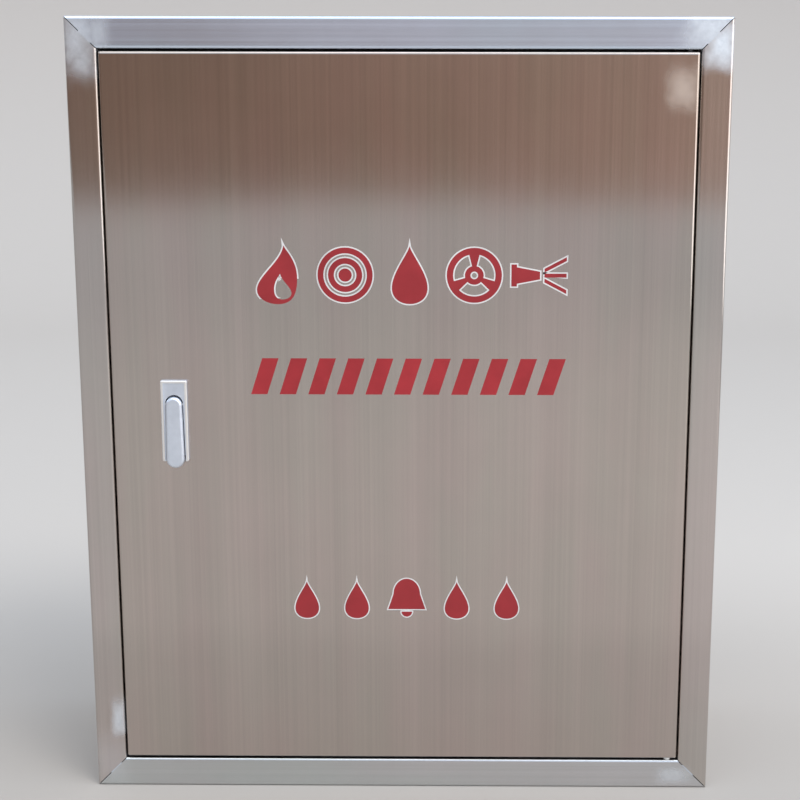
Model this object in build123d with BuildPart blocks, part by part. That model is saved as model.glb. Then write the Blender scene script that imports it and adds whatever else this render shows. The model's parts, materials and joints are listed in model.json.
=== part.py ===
from build123d import *

import os
from math import radians, sqrt, tan

# Standpipe (hydrant and hose) cabinet in brushed stainless steel. Millimetres, +Z up.
# X runs to the right, Y runs from the front face to the wall, and the origin is under the
# middle of the box: centred in width and depth, at the underside in height.

# ---- driving dimensions ----
WIDTH = 650.0
HEIGHT = 800.0
DEPTH = 240.0
SHEET = 1.0

FRAME_FACE = 31.0
FRAME_DEPTH = 24.0
EDGE_RADIUS = 3.0
MITRE_SEAM = 0.8

DOOR_GAP = 2.0
SIDE_GAP = 1.2
DOOR_DEPTH = 18.0
DOOR_LIP = 10.0
STOP_REACH = 12.0
SEAL_THICKNESS = 5.5

HINGE_FROM_FRAME = 11.0
HINGE_FROM_FACE = 5.5
PIN_RADIUS = 2.5
RUNNING_GAP = 0.05

LATCH_X = -229.2
LATCH_TOP = 442.0
LATCH_BOTTOM = 358.1
LATCH_WIDTH = 27.0
LATCH_THICKNESS = 4.0
LEVER_TOP_RADIUS = 8.3
LEVER_END_RADIUS = 9.3
LEVER_PIVOT_Z = 416.9
LEVER_END_Z = 360.9
LEVER_FRONT = 9.0
LEVER_ANGLE = 28.0
LEVER_GAP = 0.7
LEVER_SWING_GAP = 1.2
BOLT_TRAVEL = 10.0
BOLT_REST_TIP_X = -291.0
BOLT_THICKNESS = 4.0

VALVE_X = -185.0
VALVE_Y = 19.0
VALVE_BASE_Z = 120.0
VALVE_CENTRE_Z = 205.0
NECK_RADIUS = 46.0
INLET_RADIUS = 37.6
PORT_RADIUS = 29.0
SEAT_Z = 182.0
STEM_RADIUS = 8.0
HANDWHEEL_RADIUS = 60.0
HANDWHEEL_Z = 336.0

REEL_X = 125.0
REEL_Z = 430.0
REEL_RADIUS = 150.0
REEL_FRONT_Y = -6.0
REEL_WIDTH = 108.0
DISC_SHEET = 1.5
AXLE_RADIUS = 12.0
DRUM_RADIUS = 40.0

NOZZLE_Y = 59.0
NOZZLE_Z = 690.0
NOZZLE_INLET_X = -110.0
NOZZLE_LENGTH = 350.0
HOOK_THICKNESS = 3.0
HOOK_WIDTH = 20.0

RISER_HOLE_RADIUS = 47.5
RISER_RADIUS = 38.5
ANCHOR_SPACING_X = 500.0
ANCHOR_SPACING_Z = 600.0
ANCHOR_RADIUS = 5.5

# ---- positions that follow from them ----
HALF_W = WIDTH / 2
FACE_Y = -DEPTH / 2
WALL_Y = DEPTH / 2
OPENING_X = HALF_W - FRAME_FACE
OPENING_LOW_Z = FRAME_FACE
OPENING_HIGH_Z = HEIGHT - FRAME_FACE
FRAME_BACK_Y = FACE_Y + FRAME_DEPTH
STOP_BACK_Y = FRAME_BACK_Y + SHEET
INNER_WALL_Y = WALL_Y - SHEET
DOOR_X = OPENING_X - SIDE_GAP
DOOR_LOW_Z = OPENING_LOW_Z + DOOR_GAP
DOOR_HIGH_Z = OPENING_HIGH_Z - DOOR_GAP
DOOR_WIDTH = 2 * DOOR_X
DOOR_HEIGHT = DOOR_HIGH_Z - DOOR_LOW_Z
DOOR_BACK_Y = FACE_Y + DOOR_DEPTH
MIDDLE_Z = HEIGHT / 2
HINGE_X = OPENING_X - HINGE_FROM_FRAME
HINGE_Y = FACE_Y + HINGE_FROM_FACE
SWEEP_CLEAR_X = HINGE_X - HINGE_FROM_FRAME - 1
HINGE_AXIS = (HINGE_X, HINGE_Y)
VALVE_AXIS = (VALVE_X, VALVE_Y)
REEL_CENTRE = (REEL_X, REEL_Z)
LEVER_PIVOT_Y = FACE_Y - 1.8
SLIDE_FRONT_Y = STOP_BACK_Y + 2

os.makedirs("parts", exist_ok=True)


def write_piece(piece, name):
    """Labels a finished piece and writes it as its own STEP file."""
    piece.part.label = name
    export_step(piece.part, f"parts/{name}.step")


def facing_front(y):
    """A sketch plane at depth y that faces the front: x to the right, z up."""
    return Plane.XZ.offset(-y)


def facing_up(z):
    """A sketch plane at height z that faces up."""
    return Plane.XY.offset(z)


def block(x, y, z, mode=Mode.ADD):
    """A box in the part being built, from its low and high value on each axis."""
    with Locations(((x[0] + x[1]) / 2, (y[0] + y[1]) / 2, (z[0] + z[1]) / 2)):
        Box(x[1] - x[0], y[1] - y[0], z[1] - z[0], mode=mode)


def rod(start, end, radius, mode=Mode.ADD):
    """A round bar in the part being built, from one point to another along an axis."""
    start, end = Vector(start), Vector(end)
    with Locations(Plane(origin=start, z_dir=end - start)):
        Cylinder(radius, (end - start).length, mode=mode, align=(Align.CENTER, Align.CENTER, Align.MIN))


def upright(centre, z, radius, mode=Mode.ADD):
    """A vertical round bar at (x, y), from one height to another."""
    rod((*centre, z[0]), (*centre, z[1]), radius, mode)


def fore_and_aft(centre, y, radius, mode=Mode.ADD):
    """A round bar along Y at (x, z), from one depth to another."""
    rod((centre[0], y[0], centre[1]), (centre[0], y[1], centre[1]), radius, mode)


def hexagon(start, end, across_flats, mode=Mode.ADD):
    """A hexagonal bar in the part being built, for nuts and bolt heads."""
    start, end = Vector(start), Vector(end)
    with BuildSketch(Plane(origin=start, z_dir=end - start)) as outline:
        RegularPolygon(across_flats / sqrt(3), 6)
    extrude(outline.sketch, (end - start).length, mode=mode)


# ---- front frame: four mitred channels ----
def mitred_channel(length):
    """A channel along X with its outer edge at Z = 0 and its face at Y = 0, ends cut at 45 degrees."""
    with BuildPart() as channel:
        with BuildSketch(Plane.YZ.offset(-length / 2)):
            with Locations((FRAME_DEPTH, -FRAME_FACE / 2)):
                RectangleRounded(2 * FRAME_DEPTH, FRAME_FACE, EDGE_RADIUS)
                RectangleRounded(
                    2 * (FRAME_DEPTH - SHEET),
                    FRAME_FACE - 2 * SHEET,
                    EDGE_RADIUS - SHEET,
                    mode=Mode.SUBTRACT,
                )
            with Locations((1.5 * FRAME_DEPTH, -FRAME_FACE / 2)):
                Rectangle(FRAME_DEPTH, FRAME_FACE, mode=Mode.SUBTRACT)
        extrude(amount=length)
        for side in (-1, 1):
            seam_x = side * (length / 2 - MITRE_SEAM / sqrt(2))
            split(bisect_by=Plane(origin=(seam_x, 0, 0), z_dir=(side, 0, -1)), keep=Keep.BOTTOM)
    return channel.part


rail = mitred_channel(WIDTH)
stile = mitred_channel(HEIGHT)
frame_members = {
    "frame_top_rail": Pos(0, FACE_Y, HEIGHT) * rail,
    "frame_bottom_rail": Pos(0, FACE_Y, 0) * Rot(0, 180, 0) * rail,
    "frame_left_stile": Pos(-HALF_W, FACE_Y, MIDDLE_Z) * Rot(0, -90, 0) * stile,
    "frame_right_stile": Pos(HALF_W, FACE_Y, MIDDLE_Z) * Rot(0, 90, 0) * stile,
}
for member_name, member in frame_members.items():
    with BuildPart() as frame_member:
        add(member)
        if "rail" in member_name:
            rail_z = MIDDLE_Z + (1 if "top" in member_name else -1) * (MIDDLE_Z - FRAME_FACE)
            upright(HINGE_AXIS, (rail_z - 2, rail_z + 2), PIN_RADIUS + RUNNING_GAP, Mode.SUBTRACT)
    write_piece(frame_member, member_name)

# Part of each mitre is welded through and dressed flush with the face; its ends stay open.
WELD_LENGTH = 16.0
WELD_FROM_EDGE = 20.0
with BuildPart() as corner_welds:
    for side_x in (-1, 1):
        for side_z in (-1, 1):
            weld_centre = (
                side_x * (HALF_W - WELD_FROM_EDGE),
                FACE_Y + SHEET / 2,
                MIDDLE_Z + side_z * (MIDDLE_Z - WELD_FROM_EDGE),
            )
            with Locations(Plane(origin=weld_centre, x_dir=(side_x, 0, side_z), z_dir=(0, -1, 0))):
                Box(WELD_LENGTH, MITRE_SEAM, SHEET)
write_piece(corner_welds, "corner_welds")

# Triangular gussets square the four corners behind the frame.
GUSSET_LEG = 29.0
GUSSET_SHEET = 2.0
with BuildPart() as corner_gussets:
    with BuildSketch(facing_front(STOP_BACK_Y + GUSSET_SHEET)):
        for side_x in (-1, 1):
            for side_z in (-1, 1):
                corner_x = side_x * (HALF_W - SHEET)
                corner_z = MIDDLE_Z + side_z * (MIDDLE_Z - SHEET)
                with BuildLine():
                    Polyline(
                        (corner_x, corner_z),
                        (corner_x - side_x * GUSSET_LEG, corner_z),
                        (corner_x, corner_z - side_z * GUSSET_LEG),
                        close=True,
                    )
                make_face()
    extrude(amount=GUSSET_SHEET)
write_piece(corner_gussets, "corner_gussets")

# ---- box behind the frame ----
with BuildPart() as back_panel:
    block((-HALF_W + SHEET, HALF_W - SHEET), (INNER_WALL_Y, WALL_Y), (SHEET, HEIGHT - SHEET))
    for anchor_x in (-ANCHOR_SPACING_X / 2, ANCHOR_SPACING_X / 2):
        for anchor_z in (MIDDLE_Z - ANCHOR_SPACING_Z / 2, MIDDLE_Z + ANCHOR_SPACING_Z / 2):
            fore_and_aft((anchor_x, anchor_z), (INNER_WALL_Y - 1, WALL_Y + 1), ANCHOR_RADIUS, Mode.SUBTRACT)
write_piece(back_panel, "back_panel")

for side_name, side_x in (("left_side_panel", -1), ("right_side_panel", 1)):
    with BuildPart() as side_panel:
        panel_x = sorted((side_x * HALF_W, side_x * (HALF_W - SHEET)))
        block(panel_x, (FRAME_BACK_Y, WALL_Y), (SHEET, HEIGHT - SHEET))
    write_piece(side_panel, side_name)

for cover_name, cover_z in (("bottom_panel", 0.0), ("top_panel", HEIGHT - SHEET)):
    with BuildPart() as cover_panel:
        block((-HALF_W, HALF_W), (FRAME_BACK_Y, WALL_Y), (cover_z, cover_z + SHEET))
        upright(VALVE_AXIS, (cover_z - 1, cover_z + 2), RISER_HOLE_RADIUS, Mode.SUBTRACT)
    write_piece(cover_panel, cover_name)

# A rubber grommet lines the riser hole, its inner lip round the pipe.
GROMMET_LIP = 3.0
GROMMET_RISE = 5.0
with BuildPart() as riser_grommet:
    upright(VALVE_AXIS, (0, SHEET), RISER_HOLE_RADIUS)
    upright(VALVE_AXIS, (SHEET, SHEET + GROMMET_RISE), RISER_HOLE_RADIUS + GROMMET_LIP)
    fillet(riser_grommet.edges().sort_by(Axis.Z)[-1], GROMMET_LIP - 1)
    upright(VALVE_AXIS, (-1, SHEET + GROMMET_RISE + 1), RISER_RADIUS, Mode.SUBTRACT)
write_piece(riser_grommet, "riser_grommet")

# A pressed cap closes the matching hole in the top, for a riser that goes no further up.
with BuildPart() as top_blanking_cap:
    upright(VALVE_AXIS, (HEIGHT - SHEET - 1.5, HEIGHT - SHEET), RISER_HOLE_RADIUS + GROMMET_LIP)
    upright(VALVE_AXIS, (HEIGHT - SHEET, HEIGHT), RISER_HOLE_RADIUS)
    upright(VALVE_AXIS, (HEIGHT - SHEET - 4, HEIGHT - SHEET), RISER_HOLE_RADIUS - 1)
    upright(VALVE_AXIS, (HEIGHT - SHEET - 5, HEIGHT - SHEET), RISER_HOLE_RADIUS - 2, Mode.SUBTRACT)
write_piece(top_blanking_cap, "top_blanking_cap")

# ---- door stops: flat strips behind the frame, cut back where the hinge side swings in ----
STOP_X = OPENING_X - STOP_REACH
STOP_LOW_Z = OPENING_LOW_Z + STOP_REACH
STOP_HIGH_Z = OPENING_HIGH_Z - STOP_REACH
stop_depth = (FRAME_BACK_Y, STOP_BACK_Y)
with BuildPart() as left_stop:
    block((-HALF_W + SHEET, -STOP_X), stop_depth, (SHEET, HEIGHT - SHEET))
write_piece(left_stop, "left_stop")

with BuildPart() as right_stop:
    block((OPENING_X, HALF_W - SHEET), stop_depth, (SHEET, HEIGHT - SHEET))
write_piece(right_stop, "right_stop")

with BuildPart() as top_stop:
    block((-STOP_X, OPENING_X), stop_depth, (OPENING_HIGH_Z, HEIGHT - SHEET))
    block((-STOP_X, SWEEP_CLEAR_X), stop_depth, (STOP_HIGH_Z, OPENING_HIGH_Z))
write_piece(top_stop, "top_stop")

with BuildPart() as bottom_stop:
    block((-STOP_X, OPENING_X), stop_depth, (SHEET, OPENING_LOW_Z))
    block((-STOP_X, SWEEP_CLEAR_X), stop_depth, (OPENING_LOW_Z, STOP_LOW_Z))
write_piece(bottom_stop, "bottom_stop")

seal_depth = (FRAME_BACK_Y - SEAL_THICKNESS, FRAME_BACK_Y)
with BuildPart() as door_seal:
    block((-OPENING_X, -STOP_X), seal_depth, (STOP_LOW_Z, STOP_HIGH_Z))
    block((-OPENING_X, SWEEP_CLEAR_X), seal_depth, (OPENING_LOW_Z, STOP_LOW_Z))
    block((-OPENING_X, SWEEP_CLEAR_X), seal_depth, (STOP_HIGH_Z, OPENING_HIGH_Z))
write_piece(door_seal, "door_seal")

# ---- hinges: pins fixed in plates inside the rails, turning in plates inside the door ----
PLATE = 3.0
PIN_REACH = 9.0
PIN_HEAD_RADIUS = 4.5
WASHER_RADIUS = 3.3
FIXED_PLATE_X = (HINGE_X - 34, HINGE_X + 9)
FIXED_PLATE_Y = (FACE_Y + SHEET + 0.3, FRAME_BACK_Y - 3)
DOOR_PLATE_X = (HINGE_X - 34, DOOR_X - EDGE_RADIUS - 0.5)
DOOR_PLATE_Y = (FACE_Y + SHEET + 0.3, DOOR_BACK_Y - SHEET)
BEND_RELIEF = EDGE_RADIUS - SHEET + 0.2
# Each end is the level of the frame's inner edge there, and which way is out of the opening.
hinge_ends = ((OPENING_LOW_Z, -1), (OPENING_HIGH_Z, 1))


def front_edges(piece, levels):
    """The piece's foremost edges along X at the given levels, which lie in the bend of the sheet."""
    foremost = piece.edges().filter_by(Axis.X).group_by(Axis.Y)[0]
    return [edge for edge in foremost if any(abs(edge.center().Z - level) < 0.01 for level in levels)]


with BuildPart() as hinge_plates:
    for edge_z, outward in hinge_ends:
        inner_z = edge_z + outward * SHEET
        block(FIXED_PLATE_X, FIXED_PLATE_Y, sorted((inner_z, inner_z + outward * PLATE)))
    rail_inner_levels = [edge_z + outward * SHEET for edge_z, outward in hinge_ends]
    chamfer(front_edges(hinge_plates, rail_inner_levels), BEND_RELIEF)
    for edge_z, outward in hinge_ends:
        upright(HINGE_AXIS, (edge_z - 9, edge_z + 9), PIN_RADIUS, Mode.SUBTRACT)
write_piece(hinge_plates, "hinge_plates")

with BuildPart() as hinge_pins:
    for edge_z, outward in hinge_ends:
        head_z = edge_z + outward * (SHEET + PLATE)
        upright(HINGE_AXIS, (edge_z - outward * PIN_REACH, head_z), PIN_RADIUS)
        upright(HINGE_AXIS, (head_z, head_z + outward * PLATE), PIN_HEAD_RADIUS)
write_piece(hinge_pins, "hinge_pins")

# The door's weight rests on one washer, round the lower pin.
with BuildPart() as hinge_washer:
    upright(HINGE_AXIS, (OPENING_LOW_Z, OPENING_LOW_Z + DOOR_GAP - 0.3), WASHER_RADIUS)
    upright(HINGE_AXIS, (OPENING_LOW_Z - 1, OPENING_LOW_Z + DOOR_GAP), PIN_RADIUS, Mode.SUBTRACT)
write_piece(hinge_washer, "hinge_washer")

with BuildPart() as door_hinge_plates:
    for edge_z, outward in hinge_ends:
        top_z = edge_z - outward * (DOOR_GAP + SHEET)
        block(DOOR_PLATE_X, DOOR_PLATE_Y, sorted((top_z, top_z - outward * PLATE)))
    door_inner_levels = [edge_z - outward * (DOOR_GAP + SHEET) for edge_z, outward in hinge_ends]
    chamfer(front_edges(door_hinge_plates, door_inner_levels), BEND_RELIEF)
    for edge_z, outward in hinge_ends:
        upright(HINGE_AXIS, (edge_z - 12, edge_z + 12), PIN_RADIUS + RUNNING_GAP, Mode.SUBTRACT)
write_piece(door_hinge_plates, "door_hinge_plates")

# ---- door: a folded tray with a hemmed lip ----
POCKET_X = (LATCH_X - 12.2, LATCH_X + 12.2)
POCKET_Z = (361.0, 430.0)
POCKET_BACK_Y = FACE_Y + 12
CUTOUT_GAP = 0.3
CASE_X = (-262.0, -186.0)
CASE_Z = (376.0, 438.0)
CASE_BACK_Y = STOP_BACK_Y + 13
CASE_WALL = 2.0
EAR = 10.0
CASE_SCREW_RADIUS = 2.0
case_middle_z = (CASE_Z[0] + CASE_Z[1]) / 2
case_screws = [
    (x, z)
    for x in (CASE_X[0] - EAR / 2, CASE_X[1] + EAR / 2)
    for z in (case_middle_z - 22, case_middle_z + 22)
]

with BuildPart() as door_panel:
    with BuildSketch(facing_front(DOOR_BACK_Y)):
        with Locations((0, MIDDLE_Z)):
            RectangleRounded(DOOR_WIDTH, DOOR_HEIGHT, 1.5)
    extrude(amount=DOOR_DEPTH)
    fillet(door_panel.faces().sort_by(Axis.Y)[0].edges(), EDGE_RADIUS)
    with BuildPart(mode=Mode.SUBTRACT) as door_hollow:
        with BuildSketch(facing_front(DOOR_BACK_Y + 1)):
            with Locations((0, MIDDLE_Z)):
                Rectangle(DOOR_WIDTH - 2 * SHEET, DOOR_HEIGHT - 2 * SHEET)
        extrude(amount=DOOR_DEPTH + 1 - SHEET)
        fillet(door_hollow.faces().sort_by(Axis.Y)[0].edges(), EDGE_RADIUS - SHEET)
    with BuildSketch(facing_front(DOOR_BACK_Y)):
        with Locations((0, MIDDLE_Z)):
            Rectangle(DOOR_WIDTH - 2 * SHEET, DOOR_HEIGHT - 2 * SHEET)
            Rectangle(DOOR_WIDTH - 2 * DOOR_LIP, DOOR_HEIGHT - 2 * DOOR_LIP, mode=Mode.SUBTRACT)
    extrude(amount=SHEET)
    block(
        (POCKET_X[0] - CUTOUT_GAP, POCKET_X[1] + CUTOUT_GAP),
        (FACE_Y - 1, FACE_Y + 2),
        (POCKET_Z[0] - CUTOUT_GAP, POCKET_Z[1] + CUTOUT_GAP),
        Mode.SUBTRACT,
    )
    upright(HINGE_AXIS, (0, HEIGHT), PIN_RADIUS + RUNNING_GAP, Mode.SUBTRACT)
write_piece(door_panel, "door_panel")

# Two top-hat stiffeners stand inside the skin.
HAT_FLANGE = 50.0
HAT_CROWN = 26.0
HAT_DEPTH = 12.0
with BuildPart() as door_stiffeners:
    for hat_x in (-95.0, 105.0):
        with BuildSketch(facing_up(DOOR_LOW_Z + 20)):
            with Locations((hat_x, FACE_Y + 1.5 * SHEET)):
                Rectangle(HAT_FLANGE, SHEET)
            with Locations((hat_x, FACE_Y + SHEET + HAT_DEPTH / 2)):
                Rectangle(HAT_CROWN, HAT_DEPTH)
            with Locations((hat_x, FACE_Y + SHEET + (HAT_DEPTH - SHEET) / 2)):
                Rectangle(HAT_CROWN - 2 * SHEET, HAT_DEPTH - SHEET, mode=Mode.SUBTRACT)
        extrude(amount=DOOR_HEIGHT - 40)
write_piece(door_stiffeners, "door_stiffeners")

# ---- latch: housing, lever, pin, sliding bolt, spring and case ----
PLATE_FRONT_Y = FACE_Y - LATCH_THICKNESS
HOUSING_X = (LATCH_X - LATCH_WIDTH / 2, LATCH_X + LATCH_WIDTH / 2)
PIVOT = Vector(LATCH_X, LEVER_PIVOT_Y, LEVER_PIVOT_Z)
RIM = 2.6
RIM_RISE = 1.2
PIVOT_PIN_RADIUS = 1.25
FINGER_X = (LATCH_X - 2.5, LATCH_X + 2.5)
FINGER_HALF_Z = 2.0
FINGER_REACH = 36.3


def lever_outline(margin, top_extra):
    """The lever's outline as a face: a tall slot, a little wider at its lower end, grown by a margin."""
    with BuildSketch() as outline:
        top_radius = LEVER_TOP_RADIUS + margin
        end_radius = LEVER_END_RADIUS + margin
        with Locations((LATCH_X, LEVER_PIVOT_Z + top_extra)):
            Circle(top_radius)
        with Locations((LATCH_X, LEVER_END_Z)):
            Circle(end_radius)
        with BuildLine():
            Polyline(
                (LATCH_X - top_radius, LEVER_PIVOT_Z + top_extra),
                (LATCH_X + top_radius, LEVER_PIVOT_Z + top_extra),
                (LATCH_X + end_radius, LEVER_END_Z),
                (LATCH_X - end_radius, LEVER_END_Z),
                close=True,
            )
        make_face()
    return outline.sketch


with BuildPart() as latch_housing:
    block(HOUSING_X, (PLATE_FRONT_Y - RIM_RISE, FACE_Y), (LATCH_BOTTOM, LATCH_TOP))
    fillet(latch_housing.edges().filter_by(Axis.Y), 1.6)
    fillet(latch_housing.faces().sort_by(Axis.Y)[0].edges(), 1.2)
    with BuildSketch(facing_front(PLATE_FRONT_Y)):
        with Locations((LATCH_X, (LATCH_BOTTOM + LATCH_TOP) / 2 - RIM)):
            RectangleRounded(LATCH_WIDTH - 2 * RIM, LATCH_TOP - LATCH_BOTTOM, 1.0)
    extrude(amount=RIM_RISE + 1, mode=Mode.SUBTRACT)
    block(POCKET_X, (FACE_Y, POCKET_BACK_Y), POCKET_Z)
    with BuildSketch(facing_front(POCKET_BACK_Y - 1.5)):
        add(lever_outline(LEVER_GAP, LEVER_SWING_GAP))
    extrude(amount=-(FACE_Y - POCKET_BACK_Y + 1.5), mode=Mode.SUBTRACT)
    with BuildSketch(facing_front(FACE_Y)):
        add(lever_outline(LEVER_GAP, LEVER_SWING_GAP))
        with Locations((LATCH_X, LATCH_BOTTOM - 4)):
            Rectangle(2 * (LEVER_END_RADIUS + LEVER_GAP), 20)
    extrude(amount=20, mode=Mode.SUBTRACT)
    finger_slot_x = (FINGER_X[0] - 1, FINGER_X[1] + 1)
    finger_slot_z = (LEVER_PIVOT_Z - 12, LEVER_PIVOT_Z + 4)
    block(finger_slot_x, (FACE_Y + 5, POCKET_BACK_Y + 1), finger_slot_z, Mode.SUBTRACT)
    rod(PIVOT - (20, 0, 0), PIVOT + (20, 0, 0), PIVOT_PIN_RADIUS, Mode.SUBTRACT)
write_piece(latch_housing, "latch_housing")

with BuildPart() as lever_pin:
    rod(PIVOT - (13, 0, 0), PIVOT + (13, 0, 0), PIVOT_PIN_RADIUS)
write_piece(lever_pin, "lever_pin")

with BuildPart() as latch_lever:
    with BuildSketch(facing_front(FACE_Y + 1)):
        add(lever_outline(0, 0))
    extrude(amount=LEVER_FRONT + 1)
    fillet(latch_lever.faces().sort_by(Axis.Y)[0].edges(), 3.0)
    block((LATCH_X - 20, LATCH_X + 20), (FACE_Y - 5, FACE_Y + 5), (340, 400), Mode.SUBTRACT)
    block(
        FINGER_X,
        (FACE_Y, LEVER_PIVOT_Y + FINGER_REACH),
        (LEVER_PIVOT_Z - FINGER_HALF_Z, LEVER_PIVOT_Z + FINGER_HALF_Z),
    )
    rod(PIVOT - (20, 0, 0), PIVOT + (20, 0, 0), PIVOT_PIN_RADIUS + RUNNING_GAP, Mode.SUBTRACT)
write_piece(latch_lever, "latch_lever")

# The finger on the lever works a sloping slot in the bolt, so a downward sweep draws it back.
SLIDE_X = (LATCH_X - 22, LATCH_X + 14)
SLIDE_Z = (LEVER_PIVOT_Z - 28, LEVER_PIVOT_Z + 12)
BOLT_Z = (LEVER_PIVOT_Z - 16, LEVER_PIVOT_Z + 2)
bolt_depth = (SLIDE_FRONT_Y, SLIDE_FRONT_Y + BOLT_THICKNESS)
slot_half_x = 3.4
slot_top = 3.4
finger_drop = (SLIDE_FRONT_Y + BOLT_THICKNESS - LEVER_PIVOT_Y) * tan(radians(LEVER_ANGLE))
with BuildPart() as latch_bolt:
    block(SLIDE_X, bolt_depth, SLIDE_Z)
    block((BOLT_REST_TIP_X, SLIDE_X[0]), bolt_depth, BOLT_Z)
    with BuildSketch(facing_front(SLIDE_FRONT_Y - 1)):
        with BuildLine():
            Polyline(
                (LATCH_X - slot_half_x, LEVER_PIVOT_Z + slot_top),
                (LATCH_X + slot_half_x, LEVER_PIVOT_Z + slot_top),
                (LATCH_X + slot_half_x, LEVER_PIVOT_Z - slot_top),
                (LATCH_X + slot_half_x - BOLT_TRAVEL, LEVER_PIVOT_Z - finger_drop - slot_top),
                (LATCH_X - slot_half_x - BOLT_TRAVEL, LEVER_PIVOT_Z - finger_drop - slot_top),
                (LATCH_X - slot_half_x - BOLT_TRAVEL, LEVER_PIVOT_Z - finger_drop + 2 * slot_top),
                close=True,
            )
        make_face()
    extrude(amount=-(BOLT_THICKNESS + 2), mode=Mode.SUBTRACT)
    chamfer(latch_bolt.faces().sort_by(Axis.X)[0].edges().filter_by(Axis.Z).sort_by(Axis.Y)[-1], 3.0)
write_piece(latch_bolt, "latch_bolt")

SPRING_RADIUS = 3.2
SPRING_WIRE = 0.45
SPRING_TURNS = 7
spring_start = SLIDE_X[1] + 0.6
spring_length = CASE_X[1] - CASE_WALL - 0.6 - spring_start
spring_middle_y = SLIDE_FRONT_Y + BOLT_THICKNESS / 2
spring_z = LEVER_PIVOT_Z - 7
with BuildPart() as bolt_spring:
    with BuildLine() as coil:
        Helix(
            pitch=spring_length / SPRING_TURNS,
            height=spring_length,
            radius=SPRING_RADIUS,
            center=(spring_start, spring_middle_y, spring_z),
            direction=(1, 0, 0),
        )
    with BuildSketch(Plane(origin=coil.line @ 0, z_dir=coil.line % 0)):
        Circle(SPRING_WIRE)
    sweep(is_frenet=True)
write_piece(bolt_spring, "bolt_spring")

with BuildPart() as latch_case:
    block(CASE_X, (FACE_Y + SHEET, CASE_BACK_Y), CASE_Z)
    fillet(latch_case.faces().sort_by(Axis.Y)[-1].edges(), 2.0)
    block((CASE_X[0] - EAR, CASE_X[1] + EAR), (FACE_Y + SHEET, FACE_Y + SHEET + CASE_WALL), CASE_Z)
    block(
        (CASE_X[0] + CASE_WALL, CASE_X[1] - CASE_WALL),
        (FACE_Y, CASE_BACK_Y - CASE_WALL),
        (CASE_Z[0] + CASE_WALL, CASE_Z[1] - CASE_WALL),
        Mode.SUBTRACT,
    )
    block(
        (POCKET_X[0] - CUTOUT_GAP, POCKET_X[1] + CUTOUT_GAP),
        (FACE_Y, POCKET_BACK_Y + 1),
        (CASE_Z[0] - 1, CASE_Z[0] + CASE_WALL + 1),
        Mode.SUBTRACT,
    )
    block(
        (CASE_X[0] - 1, CASE_X[0] + CASE_WALL + 1),
        (bolt_depth[0] - 0.3, bolt_depth[1] + 0.3),
        (BOLT_Z[0] - 0.3, BOLT_Z[1] + 0.3),
        Mode.SUBTRACT,
    )
    for screw_x, screw_z in case_screws:
        fore_and_aft((screw_x, screw_z), (FACE_Y, FACE_Y + 6), CASE_SCREW_RADIUS, Mode.SUBTRACT)
write_piece(latch_case, "latch_case")

# Welded studs and nuts hold the case to the skin.
with BuildPart() as latch_case_nuts:
    for screw_x, screw_z in case_screws:
        fore_and_aft((screw_x, screw_z), (FACE_Y + SHEET, FACE_Y + 10), CASE_SCREW_RADIUS)
        hexagon((screw_x, FACE_Y + 3, screw_z), (screw_x, FACE_Y + 6.2, screw_z), 7.0)
write_piece(latch_case_nuts, "latch_case_nuts")

with BuildPart() as strike_plate:
    block((-STOP_X - 24, -STOP_X), (STOP_BACK_Y, STOP_BACK_Y + 1.5), (BOLT_Z[0] - 12, BOLT_Z[1] + 12))
write_piece(strike_plate, "strike_plate")

# ---- hose valve on the riser ----
valve_axis = Plane(origin=(VALVE_X, VALVE_Y, 0), x_dir=(1, 0, 0), z_dir=(0, -1, 0))
NECK_TOP_Z = 262.0
OUTLET_FLANGE_Y = (-44.0, -34.0)
with BuildPart() as valve_body:
    with BuildSketch(valve_axis):
        with BuildLine():
            Polyline(
                (0, VALVE_BASE_Z),
                (NECK_RADIUS, VALVE_BASE_Z),
                (NECK_RADIUS, VALVE_BASE_Z + 48),
            )
            ThreePointArc((NECK_RADIUS, VALVE_BASE_Z + 48), (55, VALVE_CENTRE_Z + 4), (40, 245))
            Polyline((40, 245), (40, 252), (46, 252), (46, NECK_TOP_Z), (0, NECK_TOP_Z), (0, VALVE_BASE_Z))
        make_face()
    revolve(axis=Axis((VALVE_X, VALVE_Y, 0), (0, 0, 1)))
    fore_and_aft((VALVE_X, VALVE_CENTRE_Z), (VALVE_Y, OUTLET_FLANGE_Y[0]), 38)
    fore_and_aft((VALVE_X, VALVE_CENTRE_Z), (OUTLET_FLANGE_Y[1], OUTLET_FLANGE_Y[0]), 46)
    with BuildSketch(valve_axis):
        with BuildLine():
            Polyline(
                (0, VALVE_BASE_Z),
                (INLET_RADIUS, VALVE_BASE_Z),
                (INLET_RADIUS, VALVE_BASE_Z + 32),
                (PORT_RADIUS, VALVE_BASE_Z + 32),
                (PORT_RADIUS, SEAT_Z),
                (44, SEAT_Z),
            )
            ThreePointArc((44, SEAT_Z), (47, VALVE_CENTRE_Z + 4), (32, 245))
            Polyline((32, 245), (32, NECK_TOP_Z), (0, NECK_TOP_Z), (0, VALVE_BASE_Z))
        make_face()
    revolve(axis=Axis((VALVE_X, VALVE_Y, 0), (0, 0, 1)), mode=Mode.SUBTRACT)
    fore_and_aft((VALVE_X, VALVE_CENTRE_Z + 6), (VALVE_Y, OUTLET_FLANGE_Y[0]), 26, Mode.SUBTRACT)
write_piece(valve_body, "valve_body")

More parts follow.
